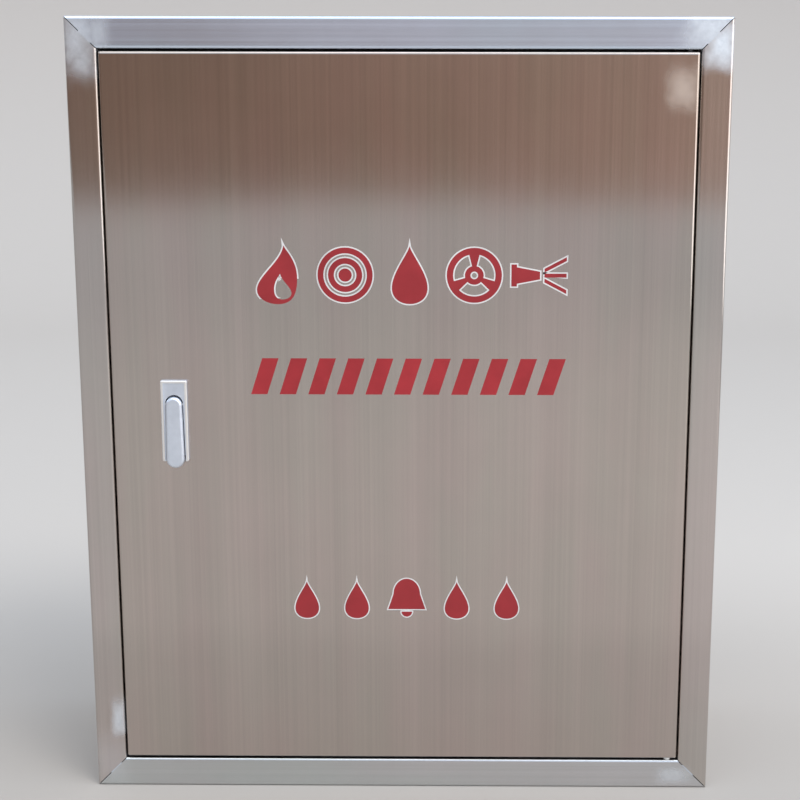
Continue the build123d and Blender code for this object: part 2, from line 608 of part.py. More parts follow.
with BuildPart() as valve_bonnet:
    upright(VALVE_AXIS, (250, NECK_TOP_Z), 31.9)
    upright(VALVE_AXIS, (NECK_TOP_Z, NECK_TOP_Z + 9), 46)
    hexagon((VALVE_X, VALVE_Y, NECK_TOP_Z + 9), (VALVE_X, VALVE_Y, NECK_TOP_Z + 24), 54)
    upright(VALVE_AXIS, (NECK_TOP_Z + 24, NECK_TOP_Z + 38), 17)
    upright(VALVE_AXIS, (240, NECK_TOP_Z + 40), STEM_RADIUS + RUNNING_GAP, Mode.SUBTRACT)
write_piece(valve_bonnet, "valve_bonnet")

with BuildPart() as gland_nut:
    hexagon((VALVE_X, VALVE_Y, NECK_TOP_Z + 38), (VALVE_X, VALVE_Y, NECK_TOP_Z + 50), 32)
    upright(VALVE_AXIS, (290, 320), STEM_RADIUS + RUNNING_GAP, Mode.SUBTRACT)
write_piece(gland_nut, "gland_nut")

STEM_FOOT_Z = SEAT_Z + 4
with BuildPart() as valve_disc:
    upright(VALVE_AXIS, (SEAT_Z + 0.3, SEAT_Z + 9), 34)
    upright(VALVE_AXIS, (SEAT_Z + 9, SEAT_Z + 20), 14)
    upright(VALVE_AXIS, (STEM_FOOT_Z, SEAT_Z + 21), STEM_RADIUS + RUNNING_GAP, Mode.SUBTRACT)
write_piece(valve_disc, "valve_disc")

with BuildPart() as valve_stem:
    upright(VALVE_AXIS, (STEM_FOOT_Z + 0.2, HANDWHEEL_Z + 8), STEM_RADIUS)
    upright(VALVE_AXIS, (HANDWHEEL_Z + 8, HANDWHEEL_Z + 19), 5)
write_piece(valve_stem, "valve_stem")

RIM_TUBE = 6.5
SPOKES = 5
with BuildPart() as handwheel:
    with Locations((VALVE_X, VALVE_Y, HANDWHEEL_Z)):
        Torus(HANDWHEEL_RADIUS - RIM_TUBE, RIM_TUBE)
    upright(VALVE_AXIS, (HANDWHEEL_Z - 9, HANDWHEEL_Z + 9), 14)
    with BuildSketch(facing_up(HANDWHEEL_Z - 3)):
        with Locations((VALVE_X, VALVE_Y)):
            with PolarLocations((HANDWHEEL_RADIUS - RIM_TUBE) / 2 + 4, SPOKES, start_angle=90):
                Rectangle(HANDWHEEL_RADIUS - RIM_TUBE - 8, 9)
    extrude(amount=6)
    upright(VALVE_AXIS, (HANDWHEEL_Z - 10, HANDWHEEL_Z + 8), STEM_RADIUS, Mode.SUBTRACT)
    upright(VALVE_AXIS, (HANDWHEEL_Z + 8, HANDWHEEL_Z + 10), 5, Mode.SUBTRACT)
write_piece(handwheel, "handwheel")

with BuildPart() as handwheel_nut:
    hexagon((VALVE_X, VALVE_Y, HANDWHEEL_Z + 9), (VALVE_X, VALVE_Y, HANDWHEEL_Z + 16), 17)
    upright(VALVE_AXIS, (HANDWHEEL_Z + 8, HANDWHEEL_Z + 17), 5, Mode.SUBTRACT)
write_piece(handwheel_nut, "handwheel_nut")


# ---- hose couplings: one on the valve's outlet and one on the nozzle ----
def claw_coupling(length, thread_radius):
    """A hose coupling along +Z from Z = 0: a collar, a ribbed ring and two claws on its open end."""
    with BuildPart() as coupling:
        upright((0, 0), (0, length), 40)
        upright((0, 0), (length * 0.35, length * 0.75), 47)
        with BuildSketch(facing_up(length * 0.35)):
            with PolarLocations(47, 12):
                Circle(3)
        extrude(amount=length * 0.4)
        upright((0, 0), (-1, length + 1), PORT_RADIUS, Mode.SUBTRACT)
        upright((0, 0), (length - 8, length + 1), thread_radius, Mode.SUBTRACT)
        with BuildSketch(facing_up(length)):
            with PolarLocations(39.5, 2):
                Rectangle(7, 22)
        extrude(amount=8)
    return coupling.part


SEAL_RING_RADIUS = 36.0
OUTLET_COUPLING_LENGTH = 34.0
coupling_blank = claw_coupling(OUTLET_COUPLING_LENGTH, SEAL_RING_RADIUS)
outlet_plane = Plane(origin=(VALVE_X, OUTLET_FLANGE_Y[0], VALVE_CENTRE_Z), x_dir=(1, 0, 0), z_dir=(0, -1, 0))
with BuildPart() as outlet_coupling:
    add(coupling_blank.moved(outlet_plane.location))
write_piece(outlet_coupling, "outlet_coupling")

outlet_mouth_y = OUTLET_FLANGE_Y[0] - OUTLET_COUPLING_LENGTH
with BuildPart() as outlet_seal_ring:
    fore_and_aft((VALVE_X, VALVE_CENTRE_Z), (outlet_mouth_y + 8, outlet_mouth_y + 1), SEAL_RING_RADIUS)
    fore_and_aft((VALVE_X, VALVE_CENTRE_Z), (outlet_mouth_y + 9, outlet_mouth_y), PORT_RADIUS, Mode.SUBTRACT)
write_piece(outlet_seal_ring, "outlet_seal_ring")

# ---- valve support: a plate on two posts, and a U-bolt round the neck ----
U_BOLT_ROD = 4.0
U_BOLT_RADIUS = NECK_RADIUS + U_BOLT_ROD + 0.2
U_BOLT_Z = VALVE_BASE_Z + 24
SUPPORT_Y = (VALVE_Y + NECK_RADIUS + 4, VALVE_Y + NECK_RADIUS + 8)
with BuildPart() as valve_support_plate:
    block((VALVE_X - 82, VALVE_X + 82), SUPPORT_Y, (U_BOLT_Z - 18, U_BOLT_Z + 18))
    fillet(valve_support_plate.edges().filter_by(Axis.Y), 6)
    for side_x in (-1, 1):
        rod(
            (VALVE_X + side_x * U_BOLT_RADIUS, SUPPORT_Y[0] - 1, U_BOLT_Z),
            (VALVE_X + side_x * U_BOLT_RADIUS, SUPPORT_Y[1] + 1, U_BOLT_Z),
            U_BOLT_ROD,
            Mode.SUBTRACT,
        )
write_piece(valve_support_plate, "valve_support_plate")

with BuildPart() as support_posts:
    for side_x in (-1, 1):
        fore_and_aft((VALVE_X + side_x * 70, U_BOLT_Z), (SUPPORT_Y[1], INNER_WALL_Y), 9)
write_piece(support_posts, "support_posts")

u_bolt_left = Vector(VALVE_X - U_BOLT_RADIUS, VALVE_Y, U_BOLT_Z)
u_bolt_right = Vector(VALVE_X + U_BOLT_RADIUS, VALVE_Y, U_BOLT_Z)
u_bolt_leg = Vector(0, SUPPORT_Y[1] + 12 - VALVE_Y, 0)
with BuildPart() as valve_u_bolt:
    with BuildLine() as u_path:
        Line(u_bolt_left + u_bolt_leg, u_bolt_left)
        ThreePointArc(u_bolt_left, (VALVE_X, VALVE_Y - U_BOLT_RADIUS, U_BOLT_Z), u_bolt_right)
        Line(u_bolt_right, u_bolt_right + u_bolt_leg)
    with BuildSketch(Plane(origin=u_path.line @ 0, z_dir=u_path.line % 0)):
        Circle(U_BOLT_ROD)
    sweep()
write_piece(valve_u_bolt, "valve_u_bolt")

with BuildPart() as u_bolt_nuts:
    for side_x in (-1, 1):
        nut_x = VALVE_X + side_x * U_BOLT_RADIUS
        hexagon((nut_x, SUPPORT_Y[1], U_BOLT_Z), (nut_x, SUPPORT_Y[1] + 6.5, U_BOLT_Z), 13)
        fore_and_aft((nut_x, U_BOLT_Z), (SUPPORT_Y[1] - 1, SUPPORT_Y[1] + 8), U_BOLT_ROD, Mode.SUBTRACT)
write_piece(u_bolt_nuts, "u_bolt_nuts")

# ---- hose reel on a fixed axle ----
REEL_BACK_Y = REEL_FRONT_Y + REEL_WIDTH
BASE_PLATE = 4.0
BASE_FRONT_Y = INNER_WALL_Y - BASE_PLATE
BASE_SIZE = 120.0
BASE_BOLT_PITCH = 92.0
with BuildPart() as reel_base_plate:
    with BuildSketch(facing_front(INNER_WALL_Y)):
        with Locations((REEL_X, REEL_Z)):
            RectangleRounded(BASE_SIZE, BASE_SIZE, 10)
            with GridLocations(BASE_BOLT_PITCH, BASE_BOLT_PITCH, 2, 2):
                Circle(4, mode=Mode.SUBTRACT)
    extrude(amount=BASE_PLATE)
write_piece(reel_base_plate, "reel_base_plate")

with BuildPart() as reel_base_bolts:
    for bolt_x in (REEL_X - BASE_BOLT_PITCH / 2, REEL_X + BASE_BOLT_PITCH / 2):
        for bolt_z in (REEL_Z - BASE_BOLT_PITCH / 2, REEL_Z + BASE_BOLT_PITCH / 2):
            fore_and_aft((bolt_x, bolt_z), (INNER_WALL_Y, BASE_FRONT_Y), 4)
            hexagon((bolt_x, BASE_FRONT_Y, bolt_z), (bolt_x, BASE_FRONT_Y - 5.3, bolt_z), 13)
write_piece(reel_base_bolts, "reel_base_bolts")

with BuildPart() as reel_axle:
    fore_and_aft(REEL_CENTRE, (BASE_FRONT_Y, REEL_BACK_Y + 0.4), 22)
    fore_and_aft(REEL_CENTRE, (BASE_FRONT_Y, REEL_FRONT_Y - 2), AXLE_RADIUS)
    fore_and_aft(REEL_CENTRE, (REEL_FRONT_Y - 2, REEL_FRONT_Y - 18), 8)
write_piece(reel_axle, "reel_axle")

with BuildPart() as reel_hub:
    fore_and_aft(REEL_CENTRE, (REEL_BACK_Y - DISC_SHEET, REEL_FRONT_Y + DISC_SHEET), DRUM_RADIUS)
    fore_and_aft(REEL_CENTRE, (REEL_BACK_Y, REEL_FRONT_Y + 30), DRUM_RADIUS - 2, Mode.SUBTRACT)
    fore_and_aft(REEL_CENTRE, (REEL_FRONT_Y + 26, REEL_FRONT_Y), DRUM_RADIUS - 2, Mode.SUBTRACT)
    fore_and_aft(REEL_CENTRE, (REEL_BACK_Y, REEL_FRONT_Y), AXLE_RADIUS + 5)
    fore_and_aft(REEL_CENTRE, (REEL_BACK_Y + 1, REEL_FRONT_Y - 1), AXLE_RADIUS + RUNNING_GAP, Mode.SUBTRACT)
write_piece(reel_hub, "reel_hub")

DISC_WINDOWS = 6
disc_back_levels = {"reel_front_disc": REEL_FRONT_Y + DISC_SHEET, "reel_back_disc": REEL_BACK_Y}
for disc_name, disc_back_y in disc_back_levels.items():
    with BuildPart() as reel_disc:
        with BuildSketch(facing_front(disc_back_y)):
            with Locations((REEL_X, REEL_Z)):
                Circle(REEL_RADIUS - 3)
                Circle(AXLE_RADIUS + 5, mode=Mode.SUBTRACT)
                with PolarLocations(94, DISC_WINDOWS, start_angle=90):
                    Circle(29, mode=Mode.SUBTRACT)
        extrude(amount=DISC_SHEET)
        with Locations(Plane(origin=(REEL_X, disc_back_y - DISC_SHEET / 2, REEL_Z), z_dir=(0, 1, 0))):
            Torus(REEL_RADIUS - 3, 3)
    write_piece(reel_disc, disc_name)

with BuildPart() as reel_nut:
    fore_and_aft(REEL_CENTRE, (REEL_FRONT_Y - 2, REEL_FRONT_Y - 4), 16)
    hexagon((REEL_X, REEL_FRONT_Y - 4, REEL_Z), (REEL_X, REEL_FRONT_Y - 14, REEL_Z), 24)
    fore_and_aft(REEL_CENTRE, (REEL_FRONT_Y, REEL_FRONT_Y - 15), 8, Mode.SUBTRACT)
write_piece(reel_nut, "reel_nut")

# ---- branch pipe (nozzle) lying in two hooks ----
COUPLING_END_X = NOZZLE_INLET_X + 36.0
CONE_START_X = COUPLING_END_X + 14.0
TIP_START_X = NOZZLE_INLET_X + NOZZLE_LENGTH - 34.0
NOZZLE_END_X = NOZZLE_INLET_X + NOZZLE_LENGTH
CONE_START_RADIUS = 33.0
CONE_END_RADIUS = 15.0
TIP_BORE = 9.5


def cone_radius(x):
    """The nozzle barrel's outer radius at a place along its length."""
    share = (x - CONE_START_X) / (TIP_START_X - CONE_START_X)
    return CONE_START_RADIUS + share * (CONE_END_RADIUS - CONE_START_RADIUS)


nozzle_plane = Plane(origin=(0, NOZZLE_Y, NOZZLE_Z), x_dir=(1, 0, 0), z_dir=(0, -1, 0))
nozzle_axis = Axis((0, NOZZLE_Y, NOZZLE_Z), (1, 0, 0))
with BuildPart() as nozzle_barrel:
    with BuildSketch(nozzle_plane):
        with BuildLine():
            Polyline(
                (COUPLING_END_X, PORT_RADIUS - 3),
                (COUPLING_END_X, 40),
                (COUPLING_END_X + 6, 40),
                (COUPLING_END_X + 6, 36),
                (CONE_START_X, CONE_START_RADIUS),
                (TIP_START_X, CONE_END_RADIUS),
                (TIP_START_X, TIP_BORE + 2),
                (CONE_START_X, PORT_RADIUS - 3),
                close=True,
            )
        make_face()
    revolve(axis=nozzle_axis)
write_piece(nozzle_barrel, "nozzle_barrel")

nozzle_coupling_plane = Plane(origin=(COUPLING_END_X, NOZZLE_Y, NOZZLE_Z), x_dir=(0, 0, 1), z_dir=(-1, 0, 0))
with BuildPart() as nozzle_coupling:
    add(claw_coupling(28.0, SEAL_RING_RADIUS).moved(nozzle_coupling_plane.location))
write_piece(nozzle_coupling, "nozzle_coupling")

with BuildPart() as nozzle_tip:
    with BuildSketch(nozzle_plane):
        with BuildLine():
            Polyline(
                (TIP_START_X, TIP_BORE),
                (TIP_START_X, 20),
                (TIP_START_X + 14, 20),
                (TIP_START_X + 18, 15),
                (NOZZLE_END_X - 4, 13),
                (NOZZLE_END_X - 4, 15),
                (NOZZLE_END_X, 15),
                (NOZZLE_END_X, TIP_BORE),
                close=True,
            )
        make_face()
    revolve(axis=nozzle_axis)
write_piece(nozzle_tip, "nozzle_tip")

for hook_name, hook_x in (("nozzle_hook_left", -30.0), ("nozzle_hook_right", 150.0)):
    cradle_radius = cone_radius(hook_x - HOOK_WIDTH / 2) + 0.4
    outer_radius = cradle_radius + HOOK_THICKNESS
    with BuildPart() as nozzle_hook:
        with BuildSketch(Plane.YZ.offset(hook_x - HOOK_WIDTH / 2)):
            with Locations((NOZZLE_Y, NOZZLE_Z)):
                Circle(outer_radius)
                Circle(cradle_radius, mode=Mode.SUBTRACT)
            with Locations((NOZZLE_Y, NOZZLE_Z + outer_radius)):
                Rectangle(2.2 * outer_radius, 2 * outer_radius, mode=Mode.SUBTRACT)
            with Locations(((NOZZLE_Y + cradle_radius + INNER_WALL_Y) / 2, NOZZLE_Z - HOOK_THICKNESS / 2)):
                Rectangle(INNER_WALL_Y - NOZZLE_Y - cradle_radius, HOOK_THICKNESS)
            with Locations((INNER_WALL_Y - HOOK_THICKNESS / 2, NOZZLE_Z - 10)):
                Rectangle(HOOK_THICKNESS, 70)
            with Locations((NOZZLE_Y - cradle_radius - HOOK_THICKNESS / 2, NOZZLE_Z + 5)):
                Rectangle(HOOK_THICKNESS, 10)
        extrude(amount=HOOK_WIDTH)
    write_piece(nozzle_hook, hook_name)

SCREW_HEAD = 3.0
screw_seat_y = INNER_WALL_Y - HOOK_THICKNESS
with BuildPart() as hook_screws:
    for hook_x in (-30.0, 150.0):
        for screw_z in (NOZZLE_Z - 38, NOZZLE_Z + 17):
            fore_and_aft((hook_x, screw_z), (screw_seat_y, screw_seat_y - SCREW_HEAD), 5)
    fillet(hook_screws.faces().filter_by(Axis.Y).group_by(Axis.Y)[0].edges(), 1.5)
write_piece(hook_screws, "hook_screws")
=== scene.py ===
import json
import math

import bpy
from mathutils import Matrix, Vector


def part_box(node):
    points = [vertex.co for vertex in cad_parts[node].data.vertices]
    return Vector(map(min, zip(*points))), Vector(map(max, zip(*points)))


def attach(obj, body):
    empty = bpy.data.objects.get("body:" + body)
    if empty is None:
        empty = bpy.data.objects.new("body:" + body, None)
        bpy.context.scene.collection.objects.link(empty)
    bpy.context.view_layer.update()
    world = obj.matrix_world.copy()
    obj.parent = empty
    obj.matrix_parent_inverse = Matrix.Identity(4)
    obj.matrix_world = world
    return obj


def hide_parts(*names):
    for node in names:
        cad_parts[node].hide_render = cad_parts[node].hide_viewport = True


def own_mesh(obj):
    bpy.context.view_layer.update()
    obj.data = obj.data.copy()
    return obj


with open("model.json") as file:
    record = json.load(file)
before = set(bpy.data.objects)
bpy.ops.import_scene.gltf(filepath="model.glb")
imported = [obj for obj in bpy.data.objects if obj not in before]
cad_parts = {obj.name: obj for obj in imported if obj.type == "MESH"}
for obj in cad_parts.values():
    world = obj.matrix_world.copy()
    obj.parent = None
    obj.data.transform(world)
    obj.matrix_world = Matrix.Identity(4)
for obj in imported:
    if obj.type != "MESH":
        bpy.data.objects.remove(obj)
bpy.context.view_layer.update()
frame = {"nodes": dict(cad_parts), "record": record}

# ---- places worked out from the frame, in metres ----
MM = 0.001
FACE_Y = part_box("door_panel")[0].y
RIM_FRONT_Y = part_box("latch_housing")[0].y
FLOOR_FRONT_Y = FACE_Y - 8.6
FLOOR_TURN_Y = 3.0
FLOOR_TURN_RADIUS = 1.5
WALL_TOP_Z = 5.0

# ---- where the printed marks are on the door, in metres ----
INK_FILM = 0.12 * MM
SIGN_ROW_Z = 0.549
SIGN_ROW_LEFT_X = -0.119
SIGN_PITCH = 0.0645
BAR_ROW_Z = 0.446
BAR_ROW_LEFT_X = -0.137
BAR_PITCH = 0.0290
BAR_COUNT = 11
BELL_ROW_X = 0.006
BELL_ROW_PITCH = 0.052
BELL_Z = 0.212
DROP_Z = 0.209
SIGN_EDGE = 1.4 * MM
BELL_EDGE = 1.2 * MM


# ---- camera ----
def make_camera():
    """Level with the upper door, right of its centre and looking down a little, with the view shifted."""
    data = bpy.data.cameras.new("camera")
    data.sensor_width = 36.0
    data.lens = 68.3
    data.shift_x = -0.0565
    data.shift_y = 0.0033
    data.clip_end = 50.0
    camera = bpy.data.objects.new("camera", data)
    yaw, pitch, roll = (math.radians(angle) for angle in (0.384, 78.446, 0.110))
    turn = Matrix.Rotation(yaw, 4, "Z") @ Matrix.Rotation(pitch, 4, "X") @ Matrix.Rotation(roll, 4, "Z")
    camera.matrix_world = Matrix.Translation((0.0558, FACE_Y - 1.5095, 0.7279)) @ turn
    bpy.context.scene.collection.objects.link(camera)
    bpy.context.scene.camera = camera


# ---- node helpers ----
def set_range(node, low, high, new_low, new_high):
    ends = {"From Min": low, "From Max": high, "To Min": new_low, "To Max": new_high}
    for name, number in ends.items():
        node.inputs[name].default_value = number


class Nodes:
    """A short way to add and join shader nodes in one material."""

    def __init__(self, name):
        self.material = bpy.data.materials.new(name)
        self.material.use_nodes = True
        self.tree = self.material.node_tree
        self.tree.nodes.clear()
        self.output = self.add("ShaderNodeOutputMaterial")
        self.place = self.add("ShaderNodeTexCoord").outputs["Object"]

    def add(self, kind, **settings):
        node = self.tree.nodes.new(kind)
        for key, value in settings.items():
            setattr(node, key, value)
        return node

    def join(self, source, target):
        """Sets a plain value on a socket, or links another socket to it."""
        if isinstance(source, (int, float, tuple)):
            target.default_value = source
        else:
            self.tree.links.new(source, target)

    def math(self, operation, a, b):
        node = self.add("ShaderNodeMath", operation=operation)
        self.join(a, node.inputs[0])
        self.join(b, node.inputs[1])
        return node.outputs[0]

    def stretched(self, scale):
        """The object's coordinates, in metres, times a scale for each axis."""
        node = self.add("ShaderNodeVectorMath", operation="MULTIPLY")
        self.join(self.place, node.inputs[0])
        node.inputs[1].default_value = scale
        return node.outputs[0]

    def noise(self, scale, detail, rough):
        """Noise from 0 to 1. scale is cells per metre, one number or one for each axis."""
        vector = self.place
        if isinstance(scale, tuple):
            vector, scale = self.stretched(scale), 1.0
        node = self.add("ShaderNodeTexNoise")
        self.join(vector, node.inputs["Vector"])
        node.inputs["Scale"].default_value = scale
        node.inputs["Detail"].default_value = detail
        node.inputs["Roughness"].default_value = rough
        return node.outputs["Fac"]

    def remap(self, value, low, high, new_low, new_high, smooth=False):
        """Takes a value from low..high to new_low..new_high, and holds it there."""
        node = self.add("ShaderNodeMapRange", clamp=True)
        if smooth:
            node.interpolation_type = "SMOOTHSTEP"
        self.join(value, node.inputs["Value"])
        set_range(node, low, high, new_low, new_high)
        return node.outputs["Result"]

    def mix(self, factor, a, b, blend="MIX"):
        """Mixes two colours; inputs 6 and 7 and output 2 are the node's colour sockets."""
        node = self.add("ShaderNodeMix", data_type="RGBA", blend_type=blend)
        self.join(factor, node.inputs["Factor"])
        for source, socket in ((a, node.inputs[6]), (b, node.inputs[7])):
            self.join((*source, 1.0) if isinstance(source, tuple) else source, socket)
        return node.outputs[2]

    def reach(self, x, z, half_x, half_z):
        """How far a point of the front face lies from (x, z), where 1 is a rounded rectangle's edge."""
        offset = self.add("ShaderNodeVectorMath", operation="SUBTRACT")
        self.join(self.place, offset.inputs[0])
        offset.inputs[1].default_value = (x, 0.0, z)
        scaled = self.add("ShaderNodeVectorMath", operation="MULTIPLY")
        self.join(offset.outputs[0], scaled.inputs[0])
        scaled.inputs[1].default_value = (1 / half_x, 0.0, 1 / half_z)
        power = scaled.outputs[0]
        for _ in range(2):
            squared = self.add("ShaderNodeVectorMath", operation="MULTIPLY")
            self.join(power, squared.inputs[0])
            self.join(power, squared.inputs[1])
            power = squared.outputs[0]
        total = self.add("ShaderNodeVectorMath", operation="DOT_PRODUCT")
        self.join(power, total.inputs[0])
        total.inputs[1].default_value = (1.0, 1.0, 1.0)
        return self.math("POWER", total.outputs["Value"], 0.25)

    def patches(self, spots):
        """Soft-edged spots, each (x, z, half width, half height, strength), joined by the strongest."""
        core, outer, ragged = 0.1, 1.45, 0.22
        edge = self.remap(self.noise(45.0, 2.0, 0.5), 0.3, 0.7, -ragged, ragged)
        total = None
        for x, z, half_x, half_z, strength in spots:
            away = self.math("ADD", self.reach(x, z, half_x, half_z), edge)
            spot = self.remap(away, core, outer, strength, 0.0, smooth=True)
            total = spot if total is None else self.math("MAXIMUM", total, spot)
        return total

    def axis(self, index):
        """The object's own X, Y or Z, in metres, by index 0, 1 or 2."""
        node = self.add("ShaderNodeSeparateXYZ")
        self.join(self.place, node.inputs[0])
        return node.outputs[index]

    def bump(self, height, strength, distance, normal=None):
        node = self.add("ShaderNodeBump")
        node.inputs["Strength"].default_value = strength
        node.inputs["Distance"].default_value = distance
        self.join(height, node.inputs["Height"])
        if normal is not None:
            self.join(normal, node.inputs["Normal"])
        return node.outputs["Normal"]

    def shader(
        self, colour, rough, metallic=0.0, normal=None, brushed=0.0, radial="Z", specular=0.5, coat=0.0
    ):
        """A surface. brushed is its anisotropy, with the tangent turning about the radial axis."""
        node = self.add("ShaderNodeBsdfPrincipled")
        self.join((*colour, 1.0) if isinstance(colour, tuple) else colour, node.inputs["Base Color"])
        self.join(rough, node.inputs["Roughness"])
        node.inputs["Metallic"].default_value = metallic
        node.inputs["Specular IOR Level"].default_value = specular
        node.inputs["Coat Weight"].default_value = coat
        if brushed:
            node.inputs["Anisotropic"].default_value = brushed
            tangent = self.add("ShaderNodeTangent", direction_type="RADIAL", axis=radial)
            self.join(tangent.outputs[0], node.inputs["Tangent"])
        if normal is not None:
            self.join(normal, node.inputs["Normal"])
        return node.outputs["BSDF"]

    def blend_shaders(self, factor, first, second):
        node = self.add("ShaderNodeMixShader")
        self.join(factor, node.inputs[0])
        self.join(first, node.inputs[1])
        self.join(second, node.inputs[2])
        return node.outputs[0]

    def finish(self, closure):
        self.join(closure, self.output.inputs["Surface"])
        return self.material


# ---- materials ----
def grain_scale(grain, along, across):
    """Noise cells per metre on each axis, long along the grain and fine across it."""
    return tuple(along if axis == grain else across for axis in "XYZ")


# Spots on the front are x, z, half width, half height and strength.
DRESSED_SPOTS = (
    # ground and polished places by the mitres
    (-0.313, 0.776, 0.022, 0.034, 0.65),
    (-0.311, 0.755, 0.014, 0.015, 0.55),
    (-0.292, 0.785, 0.013, 0.022, 0.45),
    (0.303, 0.786, 0.026, 0.022, 0.85),
    (0.312, 0.776, 0.018, 0.024, 1.0),
    (-0.300, 0.077, 0.007, 0.019, 0.65),
    (-0.312, 0.024, 0.020, 0.030, 0.15),
    (0.290, 0.014, 0.016, 0.009, 0.35),
)
RUBBED_SPOTS = (
    # a brighter rubbed place on the door's skin
    (0.2775, 0.7320, 0.0155, 0.0215, 0.75),
)


def worn_steel(n, dressed):
    """Steel with its grain gone: ground bright by the mitres, or rubbed paler on the door."""
    swirl = n.noise(240.0, 4.0, 0.7)
    if dressed:
        bright = n.mix(n.remap(swirl, 0.3, 0.7, 0.0, 1.0), (0.68, 0.725, 0.77), (0.82, 0.865, 0.91))
        return n.shader(bright, 0.45, 0.5, n.bump(swirl, 0.12, 0.0002))
    return n.shader((0.62, 0.51, 0.43), 0.42, 0.5, n.bump(swirl, 0.06, 0.0001))


def brushed_steel(name, grain, tint, shade=1.0, spots=None, dressed=False, ripple=0.25, dull=0.0):
    """Sheet stainless: fine grain along one axis, faint streaks, slow waves in the sheet, and smudges."""
    n = Nodes(name)
    fine = n.noise(grain_scale(grain, 2.5, 1100.0), 2.0, 0.5)
    streak = n.noise(grain_scale(grain, 0.9, 330.0), 2.0, 0.5)
    broad = n.noise(grain_scale(grain, 0.6, 30.0), 2.0, 0.5)
    smudge = n.noise(6.0, 4.0, 0.6)
    waves = n.noise(2.6, 1.5, 0.4)

    lines = n.math("ADD", n.remap(fine, 0.3, 0.7, -0.03, 0.03), n.remap(streak, 0.3, 0.7, -0.035, 0.035))
    lines = n.math("ADD", lines, n.remap(broad, 0.35, 0.65, -0.025, 0.025))
    # shade scales the whole copy's brightness; below 1 it is painted shade
    light = n.math("ADD", lines, n.remap(smudge, 0.3, 0.7, shade - 0.03, shade + 0.03))
    grey = n.add("ShaderNodeCombineColor")
    for socket in grey.inputs[:3]:
        n.join(light, socket)
    hue = n.remap(n.noise(grain_scale(grain, 5.0, 20.0), 2.0, 0.5), 0.35, 0.65, 0.0, 1.0)
    redder = tuple(c * k for c, k in zip(tint, (1.02, 0.985, 0.985)))
    greener = tuple(c * k for c, k in zip(tint, (0.985, 1.0, 0.98)))
    colour = n.mix(1.0, n.mix(hue, greener, redder), grey.outputs[0], "MULTIPLY")
    grained = n.remap(streak, 0.3, 0.7, 0.145 + dull, 0.16 + dull)
    rough = n.math("ADD", grained, n.remap(smudge, 0.35, 0.7, 0.0, 0.02))
    normal = n.bump(waves, ripple, 0.003, n.bump(fine, 0.05, 0.00005))
    closure = n.shader(colour, rough, 1.0, normal, 0.95, grain)
    if spots:
        closure = n.blend_shaders(n.patches(spots), closure, worn_steel(n, dressed))
    return n.finish(closure)


def zinc_sheet():
    """Galvanised sheet: a grey spangle under soft clouds."""
    n = Nodes("zinc_sheet")
    cells = n.add("ShaderNodeTexVoronoi")
    n.join(n.place, cells.inputs["Vector"])
    cells.inputs["Scale"].default_value = 70.0
    spangle = n.remap(cells.outputs["Color"], 0.2, 0.8, 0.0, 1.0)
    cloud = n.noise(12.0, 4.0, 0.6)
    colour = n.mix(n.remap(cloud, 0.3, 0.7, 0.0, 1.0), (0.40, 0.41, 0.42), (0.56, 0.57, 0.57))
    colour = n.mix(0.3, colour, spangle, "SOFT_LIGHT")
    rough = n.math("ADD", n.remap(spangle, 0.0, 1.0, -0.04, 0.04), n.remap(cloud, 0.3, 0.7, 0.36, 0.48))
    return n.finish(n.shader(colour, rough, 1.0, n.bump(cloud, 0.15, 0.0006)))


def satin_chrome(name, painted_rim_highlight):
    """The latch: die-cast and satin plated, cooler than the steel, with a painted highlight in a warmer,
    paler colour on the rim's front face.
    """
    n = Nodes(name)
    cloud = n.noise(90.0, 3.0, 0.6)
    grain = n.noise((2600.0, 500.0, 60.0), 2.0, 0.5)
    colour = n.mix(n.remap(cloud, 0.3, 0.7, 0.0, 1.0), (0.70, 0.75, 0.83), (0.78, 0.83, 0.91))
    if painted_rim_highlight:
        # painted highlight: the rim's front face is coloured brighter and warmer
        rim = n.remap(n.axis(1), RIM_FRONT_Y + 0.2 * MM, RIM_FRONT_Y + 0.9 * MM, 1.0, 0.0)
        colour = n.mix(rim, colour, (0.91, 0.89, 0.86))
    rough = n.math("ADD", n.remap(grain, 0.3, 0.7, 0.30, 0.38), n.remap(cloud, 0.4, 0.7, 0.0, 0.05))
    return n.finish(n.shader(colour, rough, 0.85, n.bump(grain, 0.05, 0.00004)))


def plated():
    n = Nodes("plated_fastener")
    cloud = n.noise(160.0, 3.0, 0.6)
    colour = n.mix(n.remap(cloud, 0.35, 0.65, 0.0, 1.0), (0.60, 0.60, 0.58), (0.74, 0.73, 0.70))
    return n.finish(n.shader(colour, n.remap(cloud, 0.3, 0.7, 0.24, 0.36), 1.0, n.bump(cloud, 0.1, 0.0002)))


def matt_black(name, colour, pore):
    """Rubber, foam and oiled black oxide: dark and matt, with a fine open skin."""
    n = Nodes(name)
    skin = n.noise(pore, 3.0, 0.6)
    mottled = n.mix(n.remap(skin, 0.3, 0.7, 0.0, 1.0), colour, tuple(1.7 * c for c in colour))
    rough = n.remap(skin, 0.3, 0.7, 0.62, 0.8)
    return n.finish(n.shader(mottled, rough, 0.0, n.bump(skin, 0.5, 0.0004), specular=0.3))


def nylon():
    n = Nodes("nylon")
    cloud = n.noise(300.0, 2.0, 0.5)
    colour = n.mix(cloud, (0.78, 0.77, 0.72), (0.86, 0.85, 0.80))
    return n.finish(n.shader(colour, n.remap(cloud, 0.3, 0.7, 0.42, 0.5), 0.0, n.bump(cloud, 0.1, 0.0001)))


